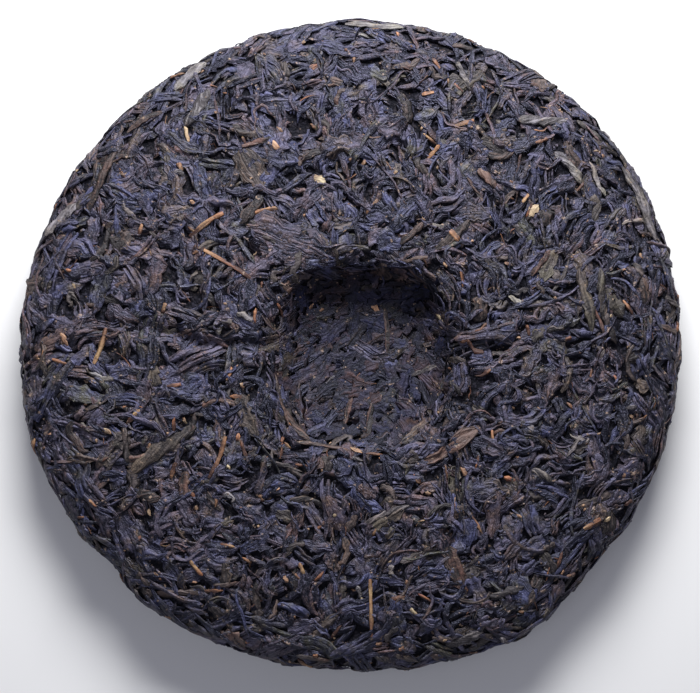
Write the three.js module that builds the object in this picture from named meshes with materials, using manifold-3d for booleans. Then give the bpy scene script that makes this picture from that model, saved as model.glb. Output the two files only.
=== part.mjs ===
// A pressed tea cake: a disc of compressed tea leaf, lying on its domed front face
// with the dimpled back face up. It is one solid, a core with the largest leaves,
// flakes and stems of its surface fused on. Millimetres, +Z up, origin on the
// resting plane under the middle of the disc.
import * as THREE from "three";
import { mergeVertices } from "three/addons/utils/BufferGeometryUtils.js";
import Module from "manifold-3d";

// Driving dimensions of the disc.
const DIAMETER = 200;
const HEIGHT = 24;
const RELIEF = 1.1; // how far the leaves stand out of the core
const EDGE_HEIGHT = 12.2; // height of the widest point of the rim
const FRONT_FLAT_RADIUS = 44; // the part of the front face that lies flat
const FRONT_SHOULDER = { radius: 93, height: 5.8 };
const BACK_SHOULDER = { radius: 92, height: 18.4 };
const LIP_RADIUS = 35; // highest ring of the back face, round the dimple
const DIMPLE_RADIUS = 27; // where the dimple's wall begins
const DIMPLE_FLOOR_RADIUS = 18;
const DIMPLE_DEPTH = 11.5;

// The knot of the pressing cloth sat off centre and leaned, so one wall is steep.
const DIMPLE_SHIFT = new THREE.Vector2(3.6, -2.7);
const FLOOR_SHIFT = new THREE.Vector2(1.2, 2.6);
const DIMPLE_SQUARENESS = 0.03;

// Swells and flats of the outline: direction and half width in degrees, rise in mm.
const EDGE_SWELLS = [
  { at: 32, width: 26, rise: 1.5 },
  { at: 118, width: 30, rise: -1.3 },
  { at: 192, width: 13, rise: 1.4 },
  { at: 222, width: 5, rise: -1.6 },
  { at: 262, width: 24, rise: -1.9 },
  { at: 301, width: 9, rise: 2.5 },
  { at: 318, width: 5, rise: -1.4 },
];

// The core's mesh and the soft lumps of its faces.
const CORE_SIDES = 40;
const CURVE_STEPS = 2;
const LUMP_HEIGHT = { back: 0.5, front: 0.12 };
const LUMP_WAVELENGTHS = [37, 29, 23, 17, 13];

// What is fused on, the largest first: how many on each face, and mean sizes in
// millimetres. crest is the height of its ridge above the core.
const KINDS = [
  { shape: "flake", back: 18, front: 7, length: 20, width: 9.5, crest: 0.9, bend: 0.1 },
  { shape: "strip", back: 116, front: 36, length: 27, width: 4.0, crest: 1.2, bend: 0.24 },
  { shape: "stem", back: 8, front: 3, length: 20, width: 2.4, crest: 1.1, bend: 0.04 },
  { shape: "strip", back: 56, front: 16, length: 17, width: 3.4, crest: 1.1, bend: 0.32 },
];
const SPREAD = 0.28; // share by which one differs from the next
const FOOT = -0.15; // height of a leaf's lower edges, just under the core's surface
const TIP_SINK = 0.7; // how far its tips dive into the core
const PLACE_JITTER = 2.6;
const RIM_BAND = 16; // width of the band where leaves follow the edge
const RIM_TURN = 0.45; // how far they stray from it there, in radians
const RIM_BEND = -0.08;
const DIMPLE_FLATTEN = 0.6; // leaves are pressed flatter inside the dimple

// A leaf pressed level under the middle of the front face.
const FRONT_LEAF = { shape: "flake", length: 26, width: 16, crest: 2.2, bend: 0 };
const FRONT_LEAF_TURN = 2.5; // from the shifted middle towards the origin
const SEED = 358;

const wasm = await Module();
wasm.setup();

// A repeatable draw of numbers from 0 to 1.
function randomFrom(seed) {
  let state = seed;
  return () => {
    state = (state + 0x6d2b79f5) | 0;
    let t = Math.imul(state ^ (state >>> 15), 1 | state);
    t = (t + Math.imul(t ^ (t >>> 7), 61 | t)) ^ t;
    return ((t ^ (t >>> 14)) >>> 0) / 4294967296;
  };
}
const random = randomFrom(SEED);
const either = (reach) => (2 * random() - 1) * reach;
const polar = (radius, turn) => new THREE.Vector2(radius * Math.cos(turn), radius * Math.sin(turn));

// The core's half section, from the middle of the front face round the rim to the
// middle of the dimple's floor. x is the radius and y the height.
function halfSection() {
  const edge = DIAMETER / 2 - RELIEF;
  const bottom = RELIEF;
  const top = HEIGHT - RELIEF;
  const floor = top - DIMPLE_DEPTH;
  const middle = (LIP_RADIUS + BACK_SHOULDER.radius) / 2;
  const path = new THREE.Path();
  path.moveTo(0, bottom);
  path.lineTo(FRONT_FLAT_RADIUS, bottom);
  path.bezierCurveTo(66, bottom, 84, 2.6, FRONT_SHOULDER.radius, FRONT_SHOULDER.height);
  path.bezierCurveTo(96.8, 7.2, edge, 9.4, edge, EDGE_HEIGHT);
  path.bezierCurveTo(edge, 15.2, 96.6, 17, BACK_SHOULDER.radius, BACK_SHOULDER.height);
  path.bezierCurveTo(84, 20.8, middle, top, LIP_RADIUS, top);
  path.bezierCurveTo(31, top, 28.6, top - 0.9, DIMPLE_RADIUS, top - 3.2);
  path.bezierCurveTo(24.8, top - 7, 23.4, floor + 1, DIMPLE_FLOOR_RADIUS, floor + 0.5);
  path.quadraticCurveTo(DIMPLE_FLOOR_RADIUS / 2, floor, 0, floor);
  return path;
}

const SECTION = halfSection();
const SECTION_STEPS = 600;
const SECTION_POINTS = SECTION.getSpacedPoints(SECTION_STEPS);
const SECTION_LENGTH = SECTION.getLength();
const EDGE_STEP = SECTION_POINTS.reduce((best, p, i) => (p.x > SECTION_POINTS[best].x ? i : best), 0);
// How far each face reaches from its middle to the widest point, along the surface.
const REACH = {
  front: (EDGE_STEP / SECTION_STEPS) * SECTION_LENGTH,
  back: (1 - EDGE_STEP / SECTION_STEPS) * SECTION_LENGTH,
};

// A point of the section and its outward normal, at a distance along it.
function sectionAt(distance) {
  const place = THREE.MathUtils.clamp((distance / SECTION_LENGTH) * SECTION_STEPS, 0, SECTION_STEPS);
  const low = Math.min(Math.floor(place), SECTION_STEPS - 1);
  const a = SECTION_POINTS[low];
  const b = SECTION_POINTS[low + 1];
  const point = a.clone().lerp(b, place - low);
  const along = b.clone().sub(a).normalize();
  return { point, normal: new THREE.Vector2(along.y, -along.x) };
}

// Lays a place on a flat face, with its lift above it, onto the true disc.
function layOnFace(face, place, lift) {
  const distance = place.length();
  const { point, normal } = sectionAt(face === "front" ? distance : SECTION_LENGTH - distance);
  const out = polar(Math.max(point.x + normal.x * lift, 0), place.angle());
  return new THREE.Vector3(out.x, out.y, point.y + normal.y * lift);
}

// The rise of the outline in a direction, in millimetres.
function edgeSwell(turn) {
  const degrees = THREE.MathUtils.radToDeg(turn);
  return EDGE_SWELLS.reduce((sum, { at, width, rise }) => {
    const away = THREE.MathUtils.euclideanModulo(degrees - at + 180, 360) - 180;
    return sum + rise * Math.exp(-((away / width) ** 2));
  }, 0);
}

const LUMPS = LUMP_WAVELENGTHS.map((wavelength) => ({
  wave: polar((2 * Math.PI) / wavelength, random() * Math.PI),
  phase: random() * 2 * Math.PI,
}));
function lump(x, y) {
  return LUMPS.reduce((sum, { wave, phase }) => sum + Math.sin(wave.x * x + wave.y * y + phase), 0) / 2;
}

// Turns a point of the true disc into the same point of the uneven one.
function unevenDisc(p) {
  const radius = Math.hypot(p.x, p.y);
  const turn = Math.atan2(p.y, p.x);
  const outward = (radius / (DIAMETER / 2)) ** 3;
  const inward = 1 - THREE.MathUtils.smoothstep(radius, LIP_RADIUS, DIAMETER / 2);
  const isDimple = p.z > EDGE_HEIGHT - 3 && radius < LIP_RADIUS;
  const square = isDimple ? DIMPLE_SQUARENESS * -Math.cos(4 * turn) * (radius / LIP_RADIUS) : 0;
  const offFloor = THREE.MathUtils.smoothstep(radius, DIMPLE_FLOOR_RADIUS - 4, DIMPLE_RADIUS + 2);
  const onFloor = isDimple ? 1 - offFloor : 0;
  const grown = polar(radius * (1 + square) + edgeSwell(turn) * outward, turn);
  grown.addScaledVector(DIMPLE_SHIFT, inward).addScaledVector(FLOOR_SHIFT, onFloor);
  const lumpiness = p.z > EDGE_HEIGHT ? LUMP_HEIGHT.back : LUMP_HEIGHT.front;
  return new THREE.Vector3(grown.x, grown.y, p.z + lumpiness * lump(grown.x, grown.y) * (1 - outward));
}

// Moves every vertex of a geometry by a rule.
function moveVertices(geometry, rule) {
  const position = geometry.getAttribute("position");
  const p = new THREE.Vector3();
  for (let i = 0; i < position.count; i++) {
    p.fromBufferAttribute(position, i);
    const moved = rule(p);
    position.setXYZ(i, moved.x, moved.y, moved.z);
  }
  return geometry;
}

// A closed geometry as a solid for joining and cutting.
function solidOf(geometry) {
  const bare = geometry.clone();
  bare.deleteAttribute("normal");
  bare.deleteAttribute("uv");
  const merged = mergeVertices(bare, 1e-3);
  return new wasm.Manifold(
    new wasm.Mesh({
      numProp: 3,
      vertProperties: new Float32Array(merged.getAttribute("position").array),
      triVerts: new Uint32Array(merged.index.array),
    }),
  );
}

function geometryOf(solid) {
  const mesh = solid.getMesh();
  const geometry = new THREE.BufferGeometry();
  geometry.setAttribute("position", new THREE.BufferAttribute(mesh.vertProperties, 3));
  geometry.setIndex(new THREE.BufferAttribute(mesh.triVerts, 1));
  return geometry;
}

function coreSolid() {
  const lathe = new THREE.LatheGeometry(SECTION.getPoints(CURVE_STEPS), CORE_SIDES);
  lathe.rotateX(Math.PI / 2);
  return solidOf(moveVertices(lathe, unevenDisc));
}

// A plain blank one unit long on the Y axis. A leaf's section has three corners, one
// of them up, so the leaf lies like a roof on the core.
const LEAF_SIDES = 3;
const STEM_SIDES = 5;
const LEAF_OUTLINES = {
  flake: [[0, 0], [1, 0.25], [1, 0.7], [0, 1]],
  strip: [[0, 0], [1, 0.5], [0, 1]],
};
function blank(shape) {
  if (shape === "stem") return new THREE.CylinderGeometry(0.9, 1, 1, STEM_SIDES, 2).translate(0, 0.5, 0);
  const outline = LEAF_OUTLINES[shape].map(([x, y]) => new THREE.Vector2(x, y));
  return new THREE.LatheGeometry(outline, LEAF_SIDES);
}

// One leaf or stem, bent along a curve on the flat face and then laid on the disc.
function leafSolid(face, { shape, length, width, crest, bend }, place, heading) {
  const geometry = blank(shape);
  geometry.computeBoundingBox();
  const { min, max } = geometry.boundingBox;
  const along = polar(1, heading);
  const across = polar(1, heading + Math.PI / 2);
  const curve = new THREE.QuadraticBezierCurve(
    place.clone().addScaledVector(along, -length / 2),
    place.clone().addScaledVector(across, 2 * bend * length),
    place.clone().addScaledVector(along, length / 2),
  );
  const flatten = face === "back" && place.length() < DIMPLE_RADIUS + 6 ? DIMPLE_FLATTEN : 1;
  moveVertices(geometry, (p) => {
    const t = THREE.MathUtils.clamp(p.y, 0, 1);
    const tangent = curve.getTangent(t);
    const off = (p.x / max.x) * (width / 2);
    const spot = curve.getPoint(t).add(new THREE.Vector2(-tangent.y, tangent.x).multiplyScalar(off));
    const ridge = THREE.MathUtils.mapLinear(p.z, min.z, max.z, FOOT, crest * flatten);
    return unevenDisc(layOnFace(face, spot, ridge - TIP_SINK * Math.abs(2 * t - 1) ** 4));
  });
  const solid = solidOf(geometry);
  if (solid.volume() > 0) return solid;
  geometry.index.array.reverse();
  return solidOf(geometry);
}

// The middles of a number of leaves, spread evenly over a face by the sunflower rule.
function spreadPlaces(count, reach) {
  const goldenTurn = Math.PI * (3 - Math.sqrt(5));
  const offset = random() * 2 * Math.PI;
  return Array.from({ length: count }, (_, i) => {
    const place = polar(reach * Math.sqrt((i + 0.5) / count), offset + i * goldenTurn);
    return place.add(new THREE.Vector2(either(PLACE_JITTER), either(PLACE_JITTER)));
  });
}

function leavesOnFace(face) {
  const solids = [];
  for (const kind of KINDS) {
    for (const place of spreadPlaces(kind[face], REACH[face])) {
      const followsEdge = place.length() > REACH[face] - RIM_BAND;
      const heading = followsEdge ? place.angle() + Math.PI / 2 + either(RIM_TURN) : random() * 2 * Math.PI;
      const leaf = {
        ...kind,
        length: kind.length * (1 + either(SPREAD)),
        width: kind.width * (1 + either(SPREAD / 2)),
        bend: followsEdge && kind.shape !== "stem" ? RIM_BEND : either(kind.bend),
      };
      solids.push(leafSolid(face, leaf, place, heading));
    }
  }
  return solids;
}

// The disc with its leaves, cut level where it lies on its front face.
function cakeGeometry() {
  const pieces = [
    coreSolid(),
    leafSolid("front", FRONT_LEAF, new THREE.Vector2(), FRONT_LEAF_TURN),
    ...leavesOnFace("front"),
    ...leavesOnFace("back"),
  ];
  const below = new THREE.BoxGeometry(2 * DIAMETER, 2 * DIAMETER, HEIGHT).translate(0, 0, -HEIGHT / 2);
  const joined = wasm.Manifold.union(pieces).subtract(solidOf(below));
  const largest = joined.decompose().reduce((a, b) => (a.volume() > b.volume() ? a : b));
  const geometry = geometryOf(largest);
  geometry.computeBoundingBox();
  const middle = geometry.boundingBox.getCenter(new THREE.Vector3());
  return geometry.translate(-middle.x, -middle.y, -geometry.boundingBox.min.z);
}

const cake = new THREE.Mesh(
  cakeGeometry(),
  new THREE.MeshStandardMaterial({ color: 0x2b2a31, roughness: 0.75, metalness: 0, flatShading: true }),
);
cake.name = "tea_cake";

const group = new THREE.Group();
group.add(cake);

export default group;
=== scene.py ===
"""The looks of a pressed tea cake.

The cake is a disc of rolled tea leaves, pressed in a cloth bag. Leaves of every kind are
laid one by one on a flat face, each resting on those under it. Then the whole bed is
pressed level and wrapped onto the disc's form, with its rim, its dimple and the creases
of the cloth. Lengths are in millimetres until a mesh is made.
"""

import math

import bpy
import numpy as np
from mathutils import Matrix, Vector


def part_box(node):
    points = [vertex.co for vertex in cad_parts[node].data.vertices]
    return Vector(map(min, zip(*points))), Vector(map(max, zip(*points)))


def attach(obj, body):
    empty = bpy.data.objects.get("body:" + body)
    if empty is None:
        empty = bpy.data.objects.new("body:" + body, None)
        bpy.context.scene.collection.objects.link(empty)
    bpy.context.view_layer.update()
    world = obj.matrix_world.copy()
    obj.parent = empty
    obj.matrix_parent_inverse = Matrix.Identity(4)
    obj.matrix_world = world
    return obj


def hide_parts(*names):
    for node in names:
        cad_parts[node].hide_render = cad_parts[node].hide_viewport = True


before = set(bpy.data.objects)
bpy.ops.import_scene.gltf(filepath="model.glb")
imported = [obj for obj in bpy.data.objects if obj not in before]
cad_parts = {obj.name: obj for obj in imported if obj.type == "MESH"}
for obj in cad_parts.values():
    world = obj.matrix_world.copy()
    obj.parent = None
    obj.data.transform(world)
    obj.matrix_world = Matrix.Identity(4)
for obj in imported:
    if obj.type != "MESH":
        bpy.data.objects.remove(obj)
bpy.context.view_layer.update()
NODE = "tea_cake"
MM = 0.001
low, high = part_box(NODE)

# The disc's form: its size, the room left for the leaves outside it, and the radius, or
# the radius and height, of the rings that its half section passes through.
DIAMETER = 200
HEIGHT = 24
RELIEF = 1.1
EDGE_HEIGHT = 12.2
FRONT_FLAT_RADIUS = 44
FRONT_SHOULDER = (93, 5.8)
BACK_SHOULDER = (92, 18.4)
LIP_RADIUS = 35
SECTION_STEPS = 1200

# The dimple: its rings and depth, how far its wall starts below the lip and ends above
# the floor, how far it and its floor lie off the middle, how square it is, how much its
# floor tilts, and the radii between which the floor's own shift and tilt fade out.
DIMPLE_RADIUS = 27
DIMPLE_FLOOR_RADIUS = 18
DIMPLE_DEPTH = 11.5
WALL_DROP = 3.2
WALL_RISE = 1.2
DIMPLE_SHIFT = (3.6, -4.0)
FLOOR_SHIFT = (1.2, 2.6)
DIMPLE_SQUARENESS = 0.06
DIMPLE_TILT = 0.07
FLOOR_FADE = (DIMPLE_FLOOR_RADIUS - 4, DIMPLE_RADIUS + 2)

# Swells and flats of the outline: direction and half width in degrees, rise.
EDGE_SWELLS = [
    (32, 26, 1.5), (118, 30, -1.3), (192, 13, 1.4), (222, 5, -1.6),
    (262, 24, -1.9), (301, 9, 2.5), (318, 5, -1.4),
]
# Slow lumps of each face: how high they are, and their wavelengths.
LUMP_HEIGHT = {"back": 0.24, "front": 0.12}
LUMP_WAVELENGTHS = [37, 29, 23, 17, 13]

# The photograph: its size and the outline's width in pixels, the camera that took it,
# and the place on the disc's own plane that its middle shows.
PHOTO_SIZE = (700, 693)
OUTLINE_WIDTH = 662
LENS = 85
SENSOR = 36
CAMERA_ELEVATION = math.radians(86)
AIM = np.array([-0.25, -1.0, EDGE_HEIGHT])
CAMERA_DISTANCE = (high.x - low.x) / MM * PHOTO_SIZE[0] / OUTLINE_WIDTH * LENS / SENSOR
LOOK = np.array([0, math.cos(CAMERA_ELEVATION), -math.sin(CAMERA_ELEVATION)])
UPWARD = np.array([0, math.sin(CAMERA_ELEVATION), math.cos(CAMERA_ELEVATION)])

SEED = 358
rng = np.random.default_rng(SEED)


def smoothstep(x, start, end):
    t = np.clip((x - start) / (end - start), 0, 1)
    return t * t * (3 - 2 * t)


def bezier(a, b, c, d, steps=60):
    t = np.linspace(0, 1, steps)[:, None]
    a, b, c, d = (np.array(p, float) for p in (a, b, c, d))
    return a * (1 - t) ** 3 + 3 * b * t * (1 - t) ** 2 + 3 * c * t * t * (1 - t) + d * t**3


def half_section():
    """The form's half section, evenly spaced, from the middle of the front face round
    the rim to the middle of the dimple's floor: radius and height. Each curve runs from
    one ring to the next, and its two inner points only bend it."""
    edge = (DIAMETER / 2 - RELIEF, EDGE_HEIGHT)
    bottom = RELIEF
    top = HEIGHT - RELIEF
    floor = top - DIMPLE_DEPTH
    flat = FRONT_FLAT_RADIUS
    lip = (LIP_RADIUS, top)
    middle = (LIP_RADIUS + BACK_SHOULDER[0]) / 2
    wall_top = (DIMPLE_RADIUS, top - WALL_DROP)
    wall_foot = (DIMPLE_FLOOR_RADIUS, floor + WALL_RISE)
    curves = [
        bezier((0, bottom), (flat / 3, bottom), (2 * flat / 3, bottom), (flat, bottom)),
        bezier((flat, bottom), (66, bottom), (84, 2.6), FRONT_SHOULDER),
        bezier(FRONT_SHOULDER, (96.8, 7.2), (edge[0], 9.4), edge),
        bezier(edge, (edge[0], 15.2), (96.6, 17), BACK_SHOULDER),
        bezier(BACK_SHOULDER, (84, 20.8), (middle, top), lip),
        bezier(lip, (31, top), (28.6, top - 0.9), wall_top),
        bezier(wall_top, (24.8, top - 6.4), (22.5, floor + 2.2), wall_foot),
        bezier(wall_foot, (12, floor + 0.1), (6, floor), (0, floor)),
    ]
    points = np.concatenate([curves[0]] + [curve[1:] for curve in curves[1:]])
    distance = np.concatenate([[0], np.cumsum(np.hypot(*np.diff(points, axis=0).T))])
    even = np.linspace(0, distance[-1], SECTION_STEPS)
    radius, level = (np.interp(even, distance, points[:, i]) for i in (0, 1))
    return even, radius, level


DISTANCE, RADIUS, LEVEL = half_section()
LENGTH = DISTANCE[-1]
ALONG = np.stack([np.gradient(RADIUS, DISTANCE), np.gradient(LEVEL, DISTANCE)])
NORMAL = np.stack([ALONG[1], -ALONG[0]]) / np.hypot(*ALONG)
TO_EDGE = DISTANCE[np.argmax(RADIUS)]
# How far each face reaches from its middle to the widest point, along the surface.
REACH = {"front": TO_EDGE, "back": LENGTH - TO_EDGE}


def slow_wave(wavelength):
    """A wave over a face: radians for each millimetre, and a drawn direction and phase."""
    return 2 * math.pi / wavelength, rng.uniform(0, math.pi), rng.uniform(0, 2 * math.pi)


LUMPS = [slow_wave(wavelength) for wavelength in LUMP_WAVELENGTHS]
# The way that neighbouring leaves share: six waves, and how far each turns the leaves.
SWIRLS = [(*slow_wave(rng.uniform(28, 70)), rng.uniform(0.6, 1.3)) for _ in range(6)]


def edge_swell(turn):
    degrees = np.degrees(turn)
    away = [(degrees - at + 180) % 360 - 180 for at, _, _ in EDGE_SWELLS]
    return sum(rise * np.exp(-((a / width) ** 2)) for a, (_, width, rise) in zip(away, EDGE_SWELLS))


def uneven_disc(face, x, y, z):
    """Turns points of the true disc into the same points of the uneven one."""
    radius = np.hypot(x, y)
    turn = np.arctan2(y, x)
    outward = (radius / (DIAMETER / 2)) ** 3
    inward = 1 - smoothstep(radius, LIP_RADIUS, DIAMETER / 2)
    in_dimple = (face == "back") & (radius < LIP_RADIUS)
    square = np.where(in_dimple, -DIMPLE_SQUARENESS * np.cos(4 * turn) * radius / LIP_RADIUS, 0)
    off_floor = smoothstep(radius, *FLOOR_FADE)
    on_floor = np.where(in_dimple, 1 - off_floor, 0)
    grown = radius * (1 + square) + edge_swell(turn) * outward
    x = grown * np.cos(turn) + DIMPLE_SHIFT[0] * inward + FLOOR_SHIFT[0] * on_floor
    y = grown * np.sin(turn) + DIMPLE_SHIFT[1] * inward + FLOOR_SHIFT[1] * on_floor
    z = z - DIMPLE_TILT * y * on_floor
    lump = sum(np.sin(k * (x * np.cos(a) + y * np.sin(a)) + p) for k, a, p in LUMPS) / 2
    return x, y, z + LUMP_HEIGHT[face] * lump * (1 - np.minimum(outward, 1))


def on_cake(face, u, v, lift):
    """Wraps places on a flat face, with their lift above it, onto the cake."""
    flat_distance = np.hypot(u, v)
    distance = flat_distance if face == "front" else LENGTH - flat_distance
    turn = np.arctan2(v, u)
    normal = [np.interp(distance, DISTANCE, n) for n in NORMAL]
    radius = np.maximum(np.interp(distance, DISTANCE, RADIUS) + normal[0] * lift, 0)
    z = np.interp(distance, DISTANCE, LEVEL) + normal[1] * lift
    x, y, z = uneven_disc(face, radius * np.cos(turn), radius * np.sin(turn), z)
    return np.stack([x, y, np.maximum(z, 0)], -1)


def in_photo(point):
    """The pixel of the photograph at which a point of the cake shows."""
    seen = point - (AIM - CAMERA_DISTANCE * LOOK)
    scale = PHOTO_SIZE[0] * LENS / SENSOR / (seen @ LOOK)
    return np.array(PHOTO_SIZE) / 2 + scale * np.array([seen[0], -(seen @ UPWARD)])


def under_photo(pixel, lift=0.5, steps=60, stride=0.18):
    """The place on the flat back face that shows at a pixel of the photograph. Each step
    towards it moves stride millimetres for each pixel that it is off."""
    place = np.zeros(2)
    for _ in range(steps):
        away = np.array(pixel) - in_photo(on_cake("back", *place, lift))
        place += stride * away * [1, -1]
    return place


# Creases of the pressing cloth: where they start and end in the photograph, how deep
# and how wide they are, and how far they wander aside.
CREASES = {
    "left of the dimple": ((112, 326), (284, 348), 2.3, 2.1),
    "down the lower half": ((333, 478), (336, 600), 0.9, 1.4),
    "below right of the dimple": ((453, 450), (463, 525), 1.0, 1.8),
    "below the dimple": ((322, 462), (300, 540), 0.6, 2.0),
    "right of the dimple": ((452, 352), (540, 334), 0.6, 2.2),
}
CREASE_WANDER = 1.2
CREASE_LINES = [
    (under_photo(start), under_photo(end), depth, width)
    for start, end, depth, width in CREASES.values()
]

# Where the photograph shows broad flat leaves with few strands over them: the middle of
# each patch and how far it reaches, the share of strands left on it, and its area for
# each flake that is added.
FLAT_PATCHES = [
    ((168, 172), 15), ((140, 300), 10), ((262, 148), 9),
    ((352, 118), 8), ((172, 388), 9), ((470, 160), 8),
]
FLAT_CENTRES = [(under_photo(pixel), reach) for pixel, reach in FLAT_PATCHES]
STRANDS_LEFT = 0.35
FLAKE_AREA = 22


def crease_depth(u, v):
    total = 0
    for start, end, depth, width in CREASE_LINES:
        along = end - start
        t = np.clip(((u - start[0]) * along[0] + (v - start[1]) * along[1]) / (along @ along), 0, 1)
        wander = CREASE_WANDER * np.sin(9 * t + start[0])
        away = np.hypot(u - start[0] - t * along[0], v - start[1] - t * along[1] - wander)
        fade = np.sqrt(np.sin(np.pi * np.clip(t, 0.02, 0.98)))
        total = total + depth * fade * np.exp(-((away / width) ** 2))
    return total


# The bed of leaves: how far it reaches past each face's widest point, the border round
# it, the step of its grid, and how high and how rough it is before the first leaf.
WRAP = {"back": 13, "front": -4}
BED_BORDER = 12
BED_STEP = 0.5
BED_START = -1.9
BED_ROUGHNESS = 0.35

# Pressing: the level that it works from, how far above it leaves still stand, the share
# of their depth that they keep below it, the share of both that is left in the dimple,
# and the radii between which that share grows to the whole.
PRESS_KNEE = 0.35
PRESS_ROOM = 0.6
PRESS_BELOW = 0.55
DIMPLE_FLATTEN = 0.24
FLATTEN_FADE = (DIMPLE_RADIUS - 3, DIMPLE_RADIUS + 9)


def blurred(field, times):
    for _ in range(times):
        field = (np.roll(field, 1, 0) + np.roll(field, -1, 0) + 2 * field) / 4
        field = (np.roll(field, 1, 1) + np.roll(field, -1, 1) + 2 * field) / 4
    return field


class Bed:
    """The height of the leaves laid so far on a flat face, on a square grid."""

    def __init__(self, half):
        self.half = half
        self.count = int(2 * half / BED_STEP) + 1
        rough = blurred(rng.normal(0, 1, (self.count, self.count)), 6)
        self.height = BED_START + BED_ROUGHNESS * rough / rough.std()

    def cells(self, u, v):
        i = np.clip(((u + self.half) / BED_STEP + 0.5).astype(int), 0, self.count - 1)
        j = np.clip(((v + self.half) / BED_STEP + 0.5).astype(int), 0, self.count - 1)
        return i, j

    def at(self, u, v):
        return self.height[self.cells(u, v)]

    def lay(self, u, v, top):
        np.maximum.at(self.height, self.cells(u, v), top)


def pressed(face, u, v, lift):
    """Presses the bed level and into the creases, and flatter inside the dimple."""
    over = np.maximum(lift - PRESS_KNEE, 0)
    below = np.maximum(PRESS_KNEE - lift, 0)
    level = PRESS_KNEE - PRESS_BELOW * below + PRESS_ROOM * (1 - np.exp(-over / PRESS_ROOM))
    if face == "front":
        return level
    inside = 1 - smoothstep(np.hypot(u, v), *FLATTEN_FADE)
    return level * (1 - inside * (1 - DIMPLE_FLATTEN)) - crease_depth(u, v)


FACES = ("back", "front")
# The kinds of leaf. count says how many lie on each face, spread how much their sizes
# differ, and lengths, widths and thicknesses are means. bundle says how many strands
# lie side by side, bend and wave how the middle line curves, twist how many turns the
# section makes, furrows how deep the furrows along it are, folds how high its wrinkles
# stand, jag how ragged its edges are, drape how closely it follows what it lies on,
# light and brown how light and brown it is, and fade how much both change along it.
# order runs from the first laid, 0, to the last, 1. sides and stations are the corners
# of a section and the sections of a leaf.
ROLLED = dict(
    bend=1.0, wave=0.42, twist=0.45, folds=0.1, drape=0, flat=False, spread=0.4,
    bundle=(1, 2), light=1, brown=1, fade=0.18)
FLAT = dict(
    bend=0.3, wave=0.2, twist=0, furrows=0.5, drape=0.75, flat=True, spread=0.5, bundle=(1, 2),
    light=1, brown=1, fade=0.16, sides=9, stations=9)
KINDS = {
    # The lowest layer is drawn darker, with light 0.45: painted shade under the leaves laid over it.
    "under_leaves": dict(
        ROLLED, count=(600, 550), length=13, width=2.5, thick=1.5,
        furrows=0.2, jag=0.1, sides=5, stations=6, order=(0, 0.25), light=0.45),
    "flat_flakes": dict(
        FLAT, count=(600, 320), length=10, width=5, thick=0.5, folds=0.26, jag=0.2,
        order=(0.12, 0.9)),
    "long_leaves": dict(
        ROLLED, count=(520, 170), length=17, width=1.95, thick=1.15, bundle=(1, 4),
        furrows=0.4, jag=0.1, sides=8, stations=14, order=(0.2, 0.95)),
    "short_leaves": dict(
        ROLLED, count=(800, 330), length=9.5, width=1.85, thick=1.1, bundle=(1, 3),
        furrows=0.4, jag=0.13, sides=7, stations=9, order=(0.2, 0.97)),
    "fine_leaves": dict(
        ROLLED, count=(1500, 450), length=8.5, width=0.95, thick=0.8, bundle=(1, 5),
        furrows=0.25, jag=0.12, sides=4, stations=9, order=(0.4, 1)),
    "curly_stems": dict(
        ROLLED, count=(200, 60), length=17, width=1.05, thick=1.0,
        furrows=0.2, jag=0.04, sides=5, stations=17, order=(0.85, 1), brown=1.6,
        bend=1.4, wave=0.5, twist=0.2, folds=0),
    "brown_leaves": dict(
        ROLLED, count=(190, 70), length=11, width=2.0, thick=1.0,
        furrows=0.4, jag=0.14, sides=8, stations=12, order=(0.4, 0.95), light=0.8),
    "brown_flakes": dict(
        FLAT, count=(110, 50), length=8.5, width=4.2, thick=0.5, folds=0.24, jag=0.22,
        order=(0.4, 0.92), light=0.8),
    "pale_leaves": dict(
        ROLLED, count=(34, 14), length=6.5, width=1.6, thick=1.1,
        furrows=0.4, jag=0.16, sides=8, stations=12, order=(0.5, 1)),
    "pressed_flakes": dict(
        FLAT, count=(230, 0), length=9.5, width=3.8, thick=0.3, folds=0.05, jag=0.25,
        order=(0.6, 0.96)),
    "stems": dict(
        ROLLED, count=(130, 40), length=5, width=1.1, thick=1.0,
        furrows=0.15, jag=0.05, sides=6, stations=8, order=(0.5, 0.97), light=0.85, fade=0.4,
        bend=0.12, wave=0.06, twist=0.05, folds=0),
    "fibres": dict(
        ROLLED, count=(130, 30), length=5, width=0.4, thick=0.35,
        furrows=0.1, jag=0.05, sides=3, stations=8, order=(0.75, 1), light=0.8, fade=0.3,
        bend=0.6, wave=0.3, twist=0, folds=0),
    "buds": dict(
        ROLLED, count=(180, 50), length=2.1, width=0.9, thick=0.5,
        furrows=0.3, jag=0.2, sides=6, stations=5, order=(0.7, 1)),
    "crumbs": dict(
        ROLLED, count=(1200, 350), length=1.9, width=1.0, thick=0.55,
        furrows=0.3, jag=0.25, sides=5, stations=3, order=(0.45, 1), brown=1.4),
}
# The kinds that line the dimple.
DIMPLE_KINDS = ("under_leaves", "pressed_flakes", "fine_leaves", "fibres")

# Every so many sides of a leaf's section, one lies at the bottom of a furrow.
FURROW_SPACING = 3
# How far apart a leaf's swellings are, and how short the hollows are that it bridges.
SWELLING_SPACING = 3.4
STIFF_LENGTH = 2.2
# Where across its width a leaf rests on the bed, and how far apart the points are that
# raise the bed to its top.
RESTS = np.array([-0.4, -0.2, 0, 0.2, 0.4])
TOP_STEP = 0.8 * BED_STEP


def leaf_taper(leaf, t):
    """The share of its full width that a leaf has along its length."""
    start = np.clip(t / leaf["taper"][0], 0, 1) ** 0.6
    end = np.clip((1 - t) / leaf["taper"][1], 0, 1) ** 0.6
    beat = 2 * math.pi * (t + leaf["phase"])
    swelling = 1 + 0.14 * np.sin(1.7 * beat) + 0.07 * np.sin(4.3 * beat)
    return (leaf["tip"] + (1 - leaf["tip"]) * start * end) * swelling


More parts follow.
